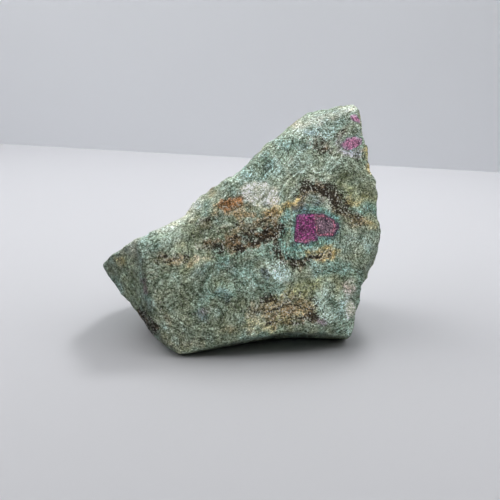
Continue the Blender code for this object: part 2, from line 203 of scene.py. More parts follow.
# Strokes on the broad face: colour, strength, half width, soft edge, break-up,
# then x and z of each point along the stroke.
STROKES = [
    # the tall end
    ("ice", 0.45, 5.0, 5.0, 0.5, (15.6, 72, 20.5, 73.6, 25.4, 71.8, 29.3, 69.5)),
    ("teal", 0.70, 2.4, 3.0, 0.6, (12, 67, 20, 69.6, 28, 67)),
    ("mist", 0.55, 3.5, 5.0, 0.5, (-8, 57, 4, 63.5, 10, 68)),
    ("mist", 0.60, 2.6, 3.5, 0.5, (31, 77, 37, 77)),
    ("meadow", 0.70, 9.0, 7.0, 0.4, (14, 60, 38, 62)),
    ("mist", 0.40, 5.0, 6.0, 0.4, (0, 58, 12, 66, 22, 64)),
    ("teal", 0.45, 4.0, 4.0, 0.6, (-4, 56, 6, 64, 14, 70)),
    ("steel", 0.70, 1.0, 1.4, 0.4, (21.5, 75.2, 23, 74.6)),
    ("steel", 0.65, 1.1, 1.4, 0.4, (19.5, 69.8, 21.5, 70.2)),
    ("steel", 0.50, 1.3, 1.8, 0.4, (5.8, 62.8, 7, 63.4)),
    ("chalk", 0.95, 2.0, 2.4, 0.35, (18, 77.6, 24, 80.2, 31, 81.8, 38, 83)),
    ("cream", 0.80, 1.4, 1.8, 0.5, (18, 79.4, 26, 82.6, 34, 84, 42, 84.6)),
    ("rose", 0.30, 1.2, 1.6, 0.6, (26, 78.6, 33, 79.6)),
    ("olive", 0.65, 1.2, 1.6, 0.4, (42.6, 80, 44, 72, 45, 66)),
    ("ochre", 0.70, 1.0, 1.4, 0.6, (44.6, 67.5, 45.9, 61.2)),
    ("umber", 0.90, 1.8, 1.6, 0.6, (24.7, 70.8, 27.5, 69.2)),
    ("umber", 0.70, 0.6, 1.0, 0.7, (27.5, 69.2, 30.6, 67.2)),
    ("umber", 0.60, 0.5, 0.8, 0.6, (33, 73.2, 36.5, 75.2, 41.5, 74.2)),
    # between the tall end and the large ruby
    ("moss", 0.95, 4.0, 3.5, 0.4, (36.9, 57.3, 41.6, 54.3, 46.2, 51.2)),
    ("mist", 0.65, 2.0, 2.5, 0.4, (-5, 54.4, 0, 53.6)),
    ("chalk", 0.95, 3.6, 2.0, 0.35, (-0.5, 54.4, 4.4, 54.6, 7.4, 52.8)),
    ("chalk", 0.85, 2.0, 2.0, 0.4, (1, 51.4, 8, 50.6)),
    ("cream", 0.65, 1.6, 2.0, 0.6, (-3.7, 48.5, 0.7, 49, 7.4, 47.6, 11, 47)),
    ("tan", 0.60, 1.4, 1.8, 0.7, (-9, 47.6, -2, 46.6, 6, 46.2)),
    ("tan", 0.70, 2.6, 2.4, 0.8, (-10.2, 49.6, -5, 49.8, -1, 50.4)),
    ("rust", 1.00, 2.5, 1.8, 0.6, (-8.6, 50.0, -6, 51.6, -4, 52.6)),
    ("umber", 0.50, 1.2, 2.0, 0.9, (-9, 48.6, -5, 50.4)),
    ("tan", 0.80, 1.6, 1.4, 0.6, (-9, 47.6, -4, 47, 2, 47)),
    ("ochre", 0.85, 1.6, 1.8, 0.7, (8, 46.6, 14.9, 49.3, 18.6, 50.2)),
    ("ochre", 0.50, 0.8, 1.2, 0.6, (17, 51.6, 20, 52.6)),
    ("olive", 0.55, 3.0, 3.5, 0.6, (34, 53, 40, 51, 46.5, 47)),
    ("ochre", 0.65, 1.2, 1.6, 0.6, (35.8, 49.2, 42.3, 47.9)),
    ("ochre", 0.40, 1.2, 1.8, 0.7, (42, 42, 46, 41.2, 49, 39.4)),
    ("umber", 0.50, 2.4, 3.0, 0.9, (20, 54.6, 25, 55, 29.6, 52.8, 32.6, 50.2, 35, 47.6)),
    ("umber", 0.85, 2.1, 1.8, 0.8, (21.6, 55.0, 25, 55.4, 29.6, 53, 32.6, 50.4, 34.2, 48.6)),
    ("umber", 0.50, 1.2, 1.6, 0.9, (37, 46, 41, 43.5)),
    ("tan", 0.60, 2.2, 2.0, 0.8, (34.6, 46, 38, 42.6, 42, 41.6)),
    ("umber", 0.65, 1.2, 1.4, 0.9, (35.4, 47.4, 38.4, 43.8, 41.4, 41.8)),
    ("kyanite", 0.65, 2.3, 1.6, 0.4, (42.8, 46.6, 44.7, 47.4, 47.6, 46)),
    ("slate", 0.75, 1.1, 1.4, 0.6, (44.2, 46.8, 46.2, 45.4)),
    # dull ground and the dark band to the left of the large ruby
    ("moss", 0.90, 3.6, 4.0, 0.45, (-22, 42.6, -14, 42, -7, 43)),
    ("umber", 0.45, 1.6, 2.4, 0.9, (-17, 45, -10.2, 46.6)),
    ("mist", 0.55, 0.9, 1.3, 0.5, (-12, 44.9, -5.5, 43.9)),
    ("tan", 0.45, 2.2, 2.5, 0.8, (-2, 42, 8, 44.4)),
    ("umber", 0.55, 2.2, 2.4, 0.9, (-8, 41, 0, 43, 8.6, 45)),
    ("umber", 1.00, 2.2, 1.7, 0.7, (-6, 37.2, 0.7, 38.2, 5.9, 40, 9.6, 41)),
    ("umber", 0.90, 1.3, 1.6, 0.8, (-18, 36.9, -10.2, 37.6, -4.4, 38.3)),
    ("umber", 0.70, 0.5, 0.8, 0.7, (-13.8, 33.8, -9.6, 35.2)),
    ("tan", 0.70, 1.5, 1.6, 0.7, (-32.5, 33, -27, 32.1, -21.8, 32.2)),
    ("cream", 0.85, 1.0, 1.0, 0.6, (-19.8, 32.6, -15.2, 32.9)),
    ("rose", 0.30, 0.8, 1.0, 0.6, (-19, 33, -15.2, 33.2)),
    ("umber", 0.60, 0.7, 1.1, 0.9, (-33, 33.8, -24, 33.2)),
    ("teal", 0.65, 2.4, 3.0, 0.4, (-12, 34.6, -10.2, 31, -15, 28.4)),
    # round the large ruby
    ("umber", 0.75, 0.9, 1.5, 0.9, (9.4, 40, 10, 35, 12.4, 31, 16.8, 29, 20.5, 29.4)),
    ("umber", 0.50, 1.3, 2.0, 0.9, (9, 45, 11.2, 38)),
    ("ochre", 0.80, 2.2, 1.8, 0.6, (20.6, 32.4, 25.4, 31.6, 30.6, 32)),
    ("cream", 0.90, 0.6, 0.6, 0.3, (21.4, 34, 22.4, 32.8, 25.4, 31.4, 28, 31.2)),
    ("cream", 0.80, 0.5, 0.6, 0.3, (26, 33, 28.8, 32.2, 31.2, 33.4)),
    ("umber", 0.70, 0.5, 0.8, 0.8, (20.5, 30.2, 24, 30.4, 30, 31.6)),
    ("mist", 0.55, 2.8, 3.5, 0.5, (35.8, 37.9, 41.5, 34.6, 45, 36)),
    ("teal", 0.50, 2.0, 2.5, 0.5, (31.5, 26.5, 36, 25)),
    # the low front, whose first two moss strokes darken it low down as painted shade
    ("moss", 0.40, 7.0, 6.0, 0.3, (-26, 17, -12, 14, 2, 13)),
    ("moss", 0.45, 4.0, 5.0, 0.4, (-30, 28, -22, 20)),
    ("steel", 0.30, 3.0, 4.0, 0.4, (-18, 29, -8, 28)),
    ("mist", 0.50, 1.0, 1.2, 0.4, (2.4, 27.6, 3.4, 23.8)),
    ("ice", 0.80, 2.6, 1.8, 0.4, (9.4, 28.2, 12.8, 25.0)),
    ("slate", 0.80, 1.2, 1.8, 0.5, (5.2, 26.6, 6.2, 25)),
    ("slate", 0.80, 1.8, 2.4, 0.5, (-11.2, 20.8, -8.0, 18.4)),
    ("teal", 0.55, 3.0, 3.5, 0.5, (-14, 21, -4, 22)),
    ("slate", 0.80, 1.4, 2.2, 0.5, (-18.2, 14, -16.8, 12.6)),
    ("rose", 0.30, 1.0, 1.4, 0.5, (-16.6, 15, -15.4, 14.6)),
    ("olive", 0.70, 2.2, 3.0, 0.5, (17, 19.7, 22.4, 21, 26.4, 21.2)),
    ("tan", 0.55, 2.8, 2.5, 0.6, (4.4, 14.6, 11, 14.9, 18, 13.4, 23, 13.6)),
    ("ochre", 0.40, 3.0, 3.0, 0.8, (0, 9, 10, 11, 22, 13)),
    ("umber", 0.55, 2.2, 2.4, 0.9, (2, 13, 8, 15, 15, 16, 22, 14)),
    ("ochre", 0.45, 1.4, 2.0, 0.7, (8, 17.6, 15, 18.6)),
    ("umber", 0.80, 1.2, 1.4, 0.9, (9, 12.2, 15, 12.6, 22, 12)),
    ("umber", 0.95, 1.0, 1.3, 0.8, (7.4, 10, 14.8, 9, 22, 10.2, 24.3, 8.8)),
    ("mist", 0.85, 2.8, 2.8, 0.4, (29.2, 19.4, 26.8, 15.6, 28.2, 10.4)),
    ("mist", 0.85, 2.0, 2.4, 0.5, (33.8, 11.6, 36, 17)),
    ("chalk", 0.75, 1.4, 1.8, 0.5, (37.2, 21, 38.4, 10)),
    ("rose", 0.40, 1.4, 2.0, 0.5, (35.7, 20.3, 38.4, 17.6)),
    ("tan", 0.25, 2.0, 3.0, 0.6, (-31, 6.8, -25.3, 4.4, -18.2, 3)),
    ("tan", 0.35, 1.4, 2.0, 0.6, (-9, 8.4, 0, 6.2)),
    ("plum", 0.80, 0.7, 0.9, 0.4, (25.6, 7.8, 27.6, 7.2)),
    ("plum", 0.65, 0.8, 1.2, 0.4, (-38, 26.6, -37.6, 22.6)),
    # pale folds down from the left ridge: painted highlight where their ridges catch the light
    ("mist", 0.50, 0.5, 0.7, 0.3, (-38.4, 39.5, -37.3, 32.7, -36.3, 26, -34.2, 18, -30.3, 10, -26, 4.6)),
    ("umber", 0.35, 0.3, 0.7, 0.5, (-36.6, 38, -35.6, 32, -34.6, 26, -32.4, 18, -29, 11)),
    ("mist", 0.35, 0.4, 0.7, 0.5, (-35.9, 34, -33.1, 24.7, -28.2, 15.2, -21.7, 6)),
    ("mist", 0.30, 0.4, 0.7, 0.5, (-30.6, 32.3, -23.2, 21.7, -16.4, 11)),
    # pitted foot of the left corner
    ("umber", 1.00, 1.2, 1.0, 0.5, (-39.4, 15.4, -37.3, 12.9, -34.8, 10.4)),
]

# Strokes laid over the kyanite rims, written like the strokes above.
RIM_STROKES = [
    ("kyanite", 0.75, 1.5, 1.2, 0.4, (13.9, 47.4, 12.4, 43.6, 12.2, 39.5, 12.2, 35.3, 14.6, 32.2, 19, 31.8)),
    ("slate", 0.80, 1.2, 1.3, 0.4, (16.8, 48.2, 19, 48.8, 21.2, 47.8)),
    ("slate", 0.60, 0.8, 1.2, 0.4, (23.4, 49.2, 25, 49.0)),
    ("steel", 0.50, 1.8, 1.6, 0.4, (22.6, 51.2, 26, 50.4)),
    ("lilac", 0.90, 1.2, 1.2, 0.4, (33.2, 71, 33.8, 68.4, 36.5, 66.4, 41.2, 66.4)),
    ("sage", 0.75, 1.6, 1.6, 0.6, (34, 49, 36, 45, 35.4, 40, 33, 37.4)),
    ("umber", 0.50, 0.7, 1.0, 0.8, (33, 49.6, 36, 45)),
]

# Run of the foliation: x, y, z of a place, facing azimuth and elevation of the
# stone there, and the angle at which its strands climb to the right.
FLOWS = [
    # the tall end
    (19, 11, 74, 5, 27, 30),
    (34, 12, 73, 5, 27, 20),
    (17, 6, 65, 5, 27, 15),
    (30, 7, 65, 5, 27, 20),
    (11, 2, 59, 5, 27, 5),
    (26, 3, 58, 5, 27, 5),
    (38, 6, 60, 5, 27, -15),
    # the middle
    (0, -3, 52, 5, 27, -10),
    (14, -2, 52, 5, 27, 15),
    (31, 0, 52, 5, 27, -10),
    (-9, -6, 46, 5, 27, 0),
    (4, -6, 45, 5, 27, 5),
    (-13, -10, 40, 5, 27, 5),
    (2, -8, 39, 5, 30, 8),
    (-27, -14, 33, 5, 27, 5),
    (-13, -14, 32, 0, 27, 0),
    (0, -13, 32, 0, 27, 5),
    (15, -11, 34, 5, 27, -40),
    (35, -7, 37, 5, 27, 40),
    (42, 1, 51, 5, 27, 60),
    # the low front
    (29, -13, 27, 10, 27, -15),
    (13, -15, 26, 5, 25, -30),
    (-4, -17, 25, -2, 27, -30),
    (-18, -18, 25, 5, 20, 0),
    (-32, -17, 29, 0, 22, -50),
    (-34, -21, 17, -25, 12, -60),
    (-25, -23, 14, -5, 17, -45),
    (-12, -22, 15, 0, 22, 0),
    (2, -20, 17, 5, 24, -15),
    (14, -19, 16, 10, 20, 10),
    (27, -18, 15, 14, 24, 22),
    (-14, -25, 7, -3, 15, -15),
    (0, -24, 8, 5, 15, 10),
    (35, -15, 18, 20, 18, 5),
    # the left facets and the slope
    (-44, -8, 30, -42, 6, -36),
    (-49, -5, 24, -36, 5, -38),
    (-40, -13, 17, -52, 4, -55),
    (-23, -9, 42, -22, 71, 45),
    (-25, 5, 45, -116, 45, 15),
    (5, 18, 68, -116, 39, 20),
    # the sides out of sight
    (44, 6, 60, 45, 15, -70),
    (44, 15, 40, 96, 7, 60),
    (40, 20, 15, 96, -10, 30),
    (10, 30, 50, 175, 5, 25),
    (-15, 31, 20, 175, 5, -10),
    (30, 27, 20, 175, 5, 40),
    (0, 5, 0, 0, -90, 20),
]
FLOW_SPREAD = 6.0
STRAND_STRETCH = 4.0

# Kyanite rim of each crystal: width, soft edge, strength.
RIMS = {
    "ruby_large": (2.6, 1.6, 0.90),
    "ruby_upper": (0.9, 1.4, 0.35),
    "ruby_tip": (0.3, 0.8, 0.20),
    "ruby_side": (3.2, 2.2, 0.85),
    "ruby_rear": (2.6, 1.8, 0.90),
    "ruby_rear_low": (1.8, 1.6, 0.80),
}

# Relief of the break: height, size, seed and octaves of each noise.
SWELLS = [(0.8, 24.0, 11, 1), (0.4, 11.0, 12, 1)]
GRAINS = [(0.14, 5.0, 13, 1), (0.13, 2.4, 15, 2)]
# Chips of the break: height, size and seed. Sharper chips have harder edges.
COARSE_CHIPS, FINE_CHIPS = (0.11, 9.0, 80), (0.20, 3.6, 90)
CHIP_SHARPNESS = 9.0
PIT_DEPTH = 0.9
# The relief starts at this height over the resting plane and eases in over it.
RELIEF_FROM, RELIEF_RISE = 0.2, 3.5

# Patches: colour, strength, size and seed of the noise, its gain and shift,
# and how much the small noise frays it.
GROUND_PATCHES = [
    ("teal", 0.50, 9.0, 25, 1.4, 0.1, 0.25),
    ("mist", 0.40, 6.0, 27, 1.6, -0.3, 0.30),
    ("olive", 0.35, 11.0, 29, 1.6, -0.3, 0.25),
]
REAR_PATCHES = [
    ("chalk", 0.50, 12.0, 36, 2.0, -0.9, 0.0),
    ("ochre", 0.45, 6.0, 37, 2.0, -1.1, 0.0),
]

# Whole numbers that stir a lattice cell and its seed into a random value.
STIR_CELL, STIR_SEED, STIR_AGAIN = (374761393, 668265263, 2147483647), 144665, 1274126177


def facing(azimuth, elevation):
    """Unit normal: azimuth turns from -Y towards +X, elevation lifts it."""
    a, e = math.radians(azimuth), math.radians(elevation)
    return np.array([math.sin(a) * math.cos(e), -math.cos(a) * math.cos(e), math.sin(e)])


def ease(x):
    """Cubic step: 3x^2 - 2x^3 between 0 and 1."""
    x = np.clip(x, 0.0, 1.0)
    return x * x * (3.0 - 2.0 * x)


def cut(rays, azimuth, elevation, x, y, z):
    """Ray length to a plane: (point - heart).n over ray.n."""
    normal = facing(azimuth, elevation)
    offset = normal @ (np.array([x, y, z]) - HEART)
    return np.minimum(offset / np.maximum(rays @ normal, 1e-3), FAR)


def inner(blend, first, *others):
    """Rounded minimum: min(a, b) less h^2 blend / 4, h the share of overlap."""
    result = first
    for other in others:
        h = np.maximum(blend - np.abs(result - other), 0.0) / blend
        result = np.minimum(result, other) - h * h * blend / 4.0
    return result


def outer(blend, first, *others):
    """Rounded maximum: the rounded minimum of the negatives, made positive."""
    return -inner(blend, -first, *(-other for other in others))


def fracture_reach(rays):
    """Length of each ray up to the nearest fracture plane; a hollow corner is
    the further of its two planes."""
    left = outer(
        1.0,
        cut(rays, -54, 1, -37, -18.2, 26),
        cut(rays, -38, 3, -44.3, -8.8, 20.5),
    )
    shelf = outer(
        1.2,
        cut(rays, -25, 72, -30, -9, 41.5),
        cut(rays, -68, 49, -22, -8.3, 43),
    )
    step = inner(
        1.5,
        cut(rays, -135, 50, -15, 5, 56),
        cut(rays, -105, 30, -22, 3, 51),
    )
    slope = outer(
        1.2,
        cut(rays, -117, 40, 3.4, 6.8, 69.5),
        step,
        cut(rays, -120, 50, -28, -1, 44.6),
        cut(rays, -135, 54, -44, 2, 33.2),
    )
    tip_ledge = outer(
        0.8,
        cut(rays, 96, 7, 44.4, 16.2, 73),
        cut(rays, 50, 62, 44.5, 13.5, 69.8),
    )
    lobe = cut(rays, 95, -11, 40.2, -6, 17.5)
    right_low = outer(1.2, cut(rays, 62, -12, 42.1, -6.2, 18.5), lobe)
    right_under = outer(1.2, cut(rays, 100, -40, 46, 1, 23), lobe)
    front_under = outer(
        1.2,
        cut(rays, 22, -55, -9, -25.4, 5.2),
        cut(rays, 12, -55, 14, -24.4, 9.8),
        cut(rays, -6, -55, 24, -24.0, 9.3),
    )
    broad = inner(
        7.0,
        cut(rays, 5.5, 27, 4, 4.9, 66),
        cut(rays, -3, 14, -10, -25.6, 6),
        cut(rays, 25, 12, 28, -21, 6),
    )
    return inner(
        2.2,
        inner(4.5, broad, left),
        shelf,
        slope,
        cut(rays, -38, 69, 30, 14, 79.0),
        cut(rays, 70, 38, 41.0, 17, 81),
        cut(rays, 96, 7, 46.5, 4, 54),
        tip_ledge,
        right_low,
        right_under,
        cut(rays, 45, 9, 49, -3, 39),
        cut(rays, 175, 5, 10, 30, 30),
        cut(rays, 172, 15, 34, 23.5, 82),
        cut(rays, -85, 44, -51, 0, 31.8),
        cut(rays, -98, -38, -48.1, 0, 12.9),
        cut(rays, -72, -38, -36.6, -15, 5.0),
        cut(rays, -45, -35, -30, -24, 4.5),
        front_under,
        cut(rays, 0, -90, 0, 0, 0),
        cut(rays, -140, 8, -48, 22, 25),
        cut(rays, 135, 5, 44, 24, 30),
        cut(rays, -80, -8, -57.6, 7, 22),
    )


def hashed(cell, seed):
    """A value between -1 and 1 for each whole-number cell."""
    h = seed * STIR_SEED + sum(cell[..., axis] * STIR_CELL[axis] for axis in range(3))
    h = (h ^ (h >> 13)) * STIR_AGAIN
    h = h ^ (h >> 16)
    return (h & 0xFFFFF) / float(0x7FFFF) - 1.0


def lattice(points, seed):
    """Value noise: a hashed value at each lattice corner, blended by the
    quintic 6f^5 - 15f^4 + 10f^3 along each axis."""
    cell = np.floor(points).astype(np.int64)
    f = points - cell
    f = f * f * f * (f * (f * 6.0 - 15.0) + 10.0)
    total = 0.0
    for corner in np.ndindex(2, 2, 2):
        weight = 1.0
        for axis, far in enumerate(corner):
            weight = weight * (f[..., axis] if far else 1.0 - f[..., axis])
        total = total + weight * hashed(cell + np.array(corner), seed)
    return total


def rough(points, size, seed, octaves=1):
    """Sum of value noises, each half as wide and half as high."""
    total = 0.0
    gain = 1.0
    for k in range(octaves):
        total = total + gain * lattice(points / size * 2.0 ** k + 17.3 * k, seed + k)
        gain = gain * 0.5
    return total


def relief(points, noises):
    """Sum of noises, each with a height, size, seed and octaves of its own."""
    return sum(height * rough(points, size, seed, octaves) for height, size, seed, octaves in noises)


def chipped(points, height, size, seed):
    """Hackly break: every jittered cell is a small plane with a slope of its
    own, and the planes are blended by exp(-sharpness d^2) of its distance."""
    scaled = points / size
    base = np.floor(scaled).astype(np.int64)
    total, weight = 0.0, 1e-9
    for step in np.ndindex(3, 3, 3):
        cell = base + np.array(step) - 1
        jitter, slope = (np.stack([hashed(cell, seed + k + n) for k in range(3)], -1) for n in (0, 3))
        away = scaled - (cell + 0.5 + 0.42 * jitter)
        w = np.exp(-CHIP_SHARPNESS * (away * away).sum(-1))
        total = total + w * (away * slope).sum(-1)
        weight = weight + w
    return height * (total / weight * size)


def laid_out(points):
    """Where the line from EYE to each point passes the flat sheet."""
    normal = facing(*SHEET)
    away = points - EYE
    share = (normal @ (SHEET_POINT - EYE)) / (away @ normal)
    return EYE + away * share[..., None]


def along(points, x0, z0, x1, z1):
    """Position along a run on the sheet, distance to its left, and its length."""
    length = math.hypot(x1 - x0, z1 - z0)
    dx, dz = (x1 - x0) / length, (z1 - z0) / length
    t = (points[..., 0] - x0) * dx + (points[..., 2] - z0) * dz
    s = (points[..., 2] - z0) * dx - (points[..., 0] - x0) * dz
    return t, s, length


def stroke_distance(points, path):
    """Distance in x and z to the nearest of a stroke's straight runs."""
    nearest = np.full(points.shape[:-1], 1e3)
    for k in range(0, len(path) - 2, 2):
        t, s, length = along(points, *path[k:k + 4])
        past = np.maximum(np.maximum(-t, t - length), 0.0)
        nearest = np.minimum(nearest, np.hypot(s, past))
    return nearest


def run_ends(t, length, reach, width):
    """1 along a run, easing to 0 over the width from the reach past its ends."""
    return ease((t + reach) / width) * ease((length + reach - t) / width)


def broken_steps(points):
    """Terraces: a cubic fall at the run that climbs back over its recovery.
    Grooves: a bell curve across the run. Both ease in and out at their ends."""
    total = 0.0
    wander = 0.8 * rough(points, 7.0, 40, 2)
    points = laid_out(points)
    for x0, z0, x1, z1, drop, fall, back in TERRACES:
        t, s, length = along(points, x0, z0, x1, z1)
        s = s + wander
        ends = run_ends(t, length, 2.0, 5.0)
        total = total - drop * ease(s / fall + 0.5) * (1.0 - ease(s / back)) * ends
    for x0, z0, x1, z1, depth, half in GROOVES:
        t, s, length = along(points, x0, z0, x1, z1)
        ends = run_ends(t, length, 1.5, 3.0)
        total = total - depth * ends * np.exp(-((s + 0.4 * wander) / half) ** 2)
    return total


def broad_face(rays):
    """Share of the broad face: 1 on it, falling to 0 past its edges."""
    return ease((rays @ facing(*SHEET)) * 4.0)


def painted_face(points, rays):
    """Share of the strokes: the broad face, and low down the left corner."""
    corner = ease((rays @ facing(-55, -10)) * 4.0) * ease((32.0 - points[:, 2]) / 8.0)
    return np.maximum(broad_face(rays), corner)


def stain_share(points, rays):
    """Where the break is rotten and pitted: along the umber strokes."""
    share = np.zeros(len(points))
    sheet = laid_out(points)
    for colour, strength, half, soft, _, path in STROKES:
        if colour == "umber":
            away = stroke_distance(sheet, path)
            share = np.maximum(share, strength * (1.0 - ease((away - half) / (soft + 1.0))))
    return share * painted_face(points, rays)


def stone_points(rays, fine=1.0):
    """Points where the rays leave the stone: the planes, then the swells, chips
    and terraces, then the fine grain and pits of the break times fine. All of
    it fades out towards the resting plane."""
    reach = fracture_reach(rays)
    points = HEART + rays * reach[:, None]
    above = ease((points[:, 2] - RELIEF_FROM) / RELIEF_RISE)
    swell = relief(points, SWELLS) + chipped(points, *COARSE_CHIPS)
    swell = swell + broken_steps(points) * broad_face(rays)
    if fine > 0.0:
        grain = relief(points, GRAINS) + chipped(points, *FINE_CHIPS)
        pits = np.maximum(rough(points, 1.9, 61, 2) - 0.1, 0.0)
        swell = swell + fine * (grain - PIT_DEPTH * pits * stain_share(points, rays))
    points = HEART + rays * (reach + swell * above)[:, None]
    points[:, 2] = np.maximum(points[:, 2], 0.0)
    return points


def unit(vectors):
    """Vectors brought to length 1."""
    return vectors / np.linalg.norm(vectors, axis=-1, keepdims=True)


def crystal_frame(crystal):
    """Centre of a crystal's end on the stone, its two sides and its axis."""
    place, way, _ = crystal
    axis = facing(*way)
    side = unit(np.cross(UP, axis))
    ray = unit(np.array(place) - HEART)
    level = (stone_points(ray[None, :], 0.0)[0] - place) @ axis
    return place + axis * level, side, np.cross(axis, side), axis


def outline_ratio(a, b, corners):
    """Size of a crystal's outline through a point over its own size: the
    greatest of the distances across its sides, each over the side's own."""
    ratio = np.full(np.shape(a), -1e3)
    for (x0, y0), (x1, y1) in zip(corners, corners[1:] + corners[:1]):
        nx, ny = y1 - y0, x0 - x1
        ratio = np.maximum(ratio, (a * nx + b * ny) / (x0 * nx + y0 * ny))
    return ratio


def outline_size(corners):
    """Mean distance of a crystal's corners from its middle."""
    return sum(math.hypot(x, y) for x, y in corners) / len(corners)


def crystal_inside(points, crystal):
    """How far points lie inside a crystal's outline, seen along its axis: the
    outline's size left over, times 0.85 of its corners' mean distance."""
    centre, side, lift, _ = crystal_frame(crystal)
    away, corners = points - centre, crystal[2]
    return (1.0 - outline_ratio(away @ side, away @ lift, corners)) * 0.85 * outline_size(corners)


def crystal_distance(points, crystals):
    """Signed distance to the outline of a group of crystals seen along their
    axes, growing past 8 mm above or below them, and the place round the group's
    rim: the direction from its middle times 1.3 of its size, and a quarter of
    the distance."""
    nearest = np.full(len(points), 1e3)
    middle, size = 0.0, 0.0
    for crystal in crystals:
        centre, _, _, axis = crystal_frame(crystal)
        height = np.maximum(np.abs((points - centre) @ axis) - 8.0, 0.0)
        nearest = np.minimum(nearest, height - crystal_inside(points, crystal))
        middle, size = middle + centre / len(crystals), max(size, outline_size(crystal[2]))
    away = points - middle
    flat = away - (away @ axis)[:, None] * axis
    flat = flat / np.maximum(np.linalg.norm(flat, axis=1), 0.1)[:, None]
    return nearest, flat * size * 1.3 + axis * 0.25 * nearest[:, None]


def divided_box(counts):
    """Rays through the grid points of a box divided by counts, and its quads.
    Each side's grid is evened out by tan(t pi / 4)."""
    cells = []
    for axis in range(3):
        u, v = (axis + 1) % 3, (axis + 2) % 3
        i, j = np.meshgrid(np.arange(counts[u]), np.arange(counts[v]), indexing="ij")
        for end in (0, counts[axis]):
            ring = ((0, 0), (1, 0), (1, 1), (0, 1)) if end else ((0, 0), (0, 1), (1, 1), (1, 0))
            quad = np.zeros((i.size, 4, 3), dtype=np.int64)
            for k, (du, dv) in enumerate(ring):
                quad[:, k, axis] = end
                quad[:, k, u] = i.ravel() + du
                quad[:, k, v] = j.ravel() + dv
            cells.append(quad)
    corners = np.concatenate(cells).reshape(-1, 3)
    key = corners @ np.array([4096 ** 2, 4096, 1])
    _, first, index = np.unique(key, return_index=True, return_inverse=True)
    grid = corners[first] / np.array(counts) * 2.0 - 1.0
    return unit(np.tan(grid * math.pi / 4.0) * REACH), index.reshape(-1, 4).tolist()


def mix(colour, other, share):
    """Straight blend of two colours by a share per point."""
    return colour + (np.asarray(other) - colour) * share[:, None]


def patched(colour, points, share, small, patches):
    """Blends in one patch after another: gain times its noise, plus a shift
    and the fray."""
    for name, strength, size, seed, gain, shift, fray in patches:
        patch = ease(rough(points, size, seed, 2) * gain + shift + fray * small)
        colour = mix(colour, PALETTE[name], strength * share * patch)
    return colour


def painted(colour, points, front, clot, strokes, seed):
    """Blends in one stroke after another, each clotted and torn by noise."""
    sheet = laid_out(points)
    for k, (name, strength, half, soft, breakup, path) in enumerate(strokes):
        away = stroke_distance(sheet, path) - breakup * clot
        share = 1.0 - ease((away - half) / soft + 0.5)
        torn = ease(0.75 + 0.9 * rough(points, 2.6, seed + k, 2))
        share = strength * front * share * (1.0 - breakup + breakup * torn)
        colour = mix(colour, PALETTE[name], share)
    return colour


def rear_bands(points):
    """Bands of stain along the layers, bent and broken by noise."""
    bend = np.stack([rough(points, 18.0, seed) for seed in (31, 32, 33)], 1)
    layer = (points + 4.0 * bend) @ facing(20, 70) / 9.0 + 0.5 * rough(points, 10.0, 34)
    return ease(1.0 - np.abs(np.mod(layer, 2.2) - 1.1) * 4.0) * ease(rough(points, 8.0, 35, 2) + 0.55)


def kyanite_rims(points, rims, tiny):
    """Share of kyanite round the crystals, frayed along the rim, and the place
    of its fibres, which run round the crystal."""
    rim = np.zeros(len(points))
    fibre = points.copy()
    for group, (width, soft, strength) in RIMS.items():
        away, place = rims[group]
        fray = 0.9 * rough(place, 2.4, 151, 2) + 0.4 * tiny
        share = strength * (1.0 - ease((away - width - fray) / soft + 0.5))
        near = share > rim
        rim = np.maximum(rim, share)
        fibre[near] = place[near]
    return rim, fibre


def stone_colours(points, rays, rims, nearest):
    """Colour of each point, its share of kyanite and the place of its fibres:
    the schist's own greens by height, lighter up high partly as painted light,
    and by broad noise, the left cheek and the shelf painted paler as painted
    light falling on them, then the bands out of sight, every stroke in
    turn, the kyanite rims and a dark seam next to the crystals."""
    p = PALETTE
    front = painted_face(points, rays)
    broad = rough(points, 15.0, 21, 2)
    small = rough(points, 3.2, 23, 3)
    tiny = rough(points, 1.5, 24, 2)
    # Lighter with height: partly the paler minerals up the stone, partly painted light on the upper face,
    # which catches more of the light.
    high = ease((points[:, 2] - 22.0) / 40.0)
    colour = np.tile(np.array(p["sage"]), (len(points), 1))
    colour = mix(colour, p["meadow"], np.clip(high * 0.9 + 0.15 * broad, 0.0, 1.0))
    # Painted light: the left cheek and the shelf are painted paler with mist and chalk, standing in for the
    # light that falls on them; the same share keeps the bands off them.
    cheek = ease((rays @ facing(-46, 2)) * 6.0 - 4.6) * ease((points[:, 0] + 49.0) / 5.0)
    shelf = ease((points[:, 2] - 31.0) / 5.0) * ease((-16.0 - points[:, 0]) / 6.0)
    painted_light_share = np.maximum(cheek, shelf)
    colour = mix(colour, p["mist"], (1.0 - front) * (0.95 * painted_light_share))
    colour = mix(colour, p["chalk"], 0.60 * (1.0 - front) * shelf)
    colour = patched(colour, points, 1.0, small, GROUND_PATCHES)

    behind = (1.0 - front) * (1.0 - np.minimum(1.6 * painted_light_share, 1.0))
    band = rear_bands(points)
    colour = mix(colour, p["tan"], 0.60 * behind * band)
    colour = mix(colour, p["umber"], 0.75 * behind * ease(band * (0.5 + small) * 1.6 - 0.25))
    colour = patched(colour, points, behind, small, REAR_PATCHES)

    clot = 2.0 * small + 1.4 * tiny + 0.8 * broad
    colour = painted(colour, points, front, clot, STROKES, 140)
    rim, fibre = kyanite_rims(points, rims, tiny)
    thread = rough(fibre, 1.3, 155, 2)
    colour = mix(colour, p["kyanite"], rim * np.clip(0.85 + 0.4 * thread, 0.0, 1.0))
    colour = painted(colour, points, front, clot, RIM_STROKES, 240)
    seam = 1.0 - ease((nearest - 0.2 + tiny) / 0.8)
    colour = mix(colour, p["slate"], 0.55 * np.minimum(rim * 2.0, 1.0) * seam)
    colour = colour * (1.0 + 0.12 * small + 0.10 * tiny)[:, None]
    return np.clip(colour, 0.0, 1.0), rim, fibre


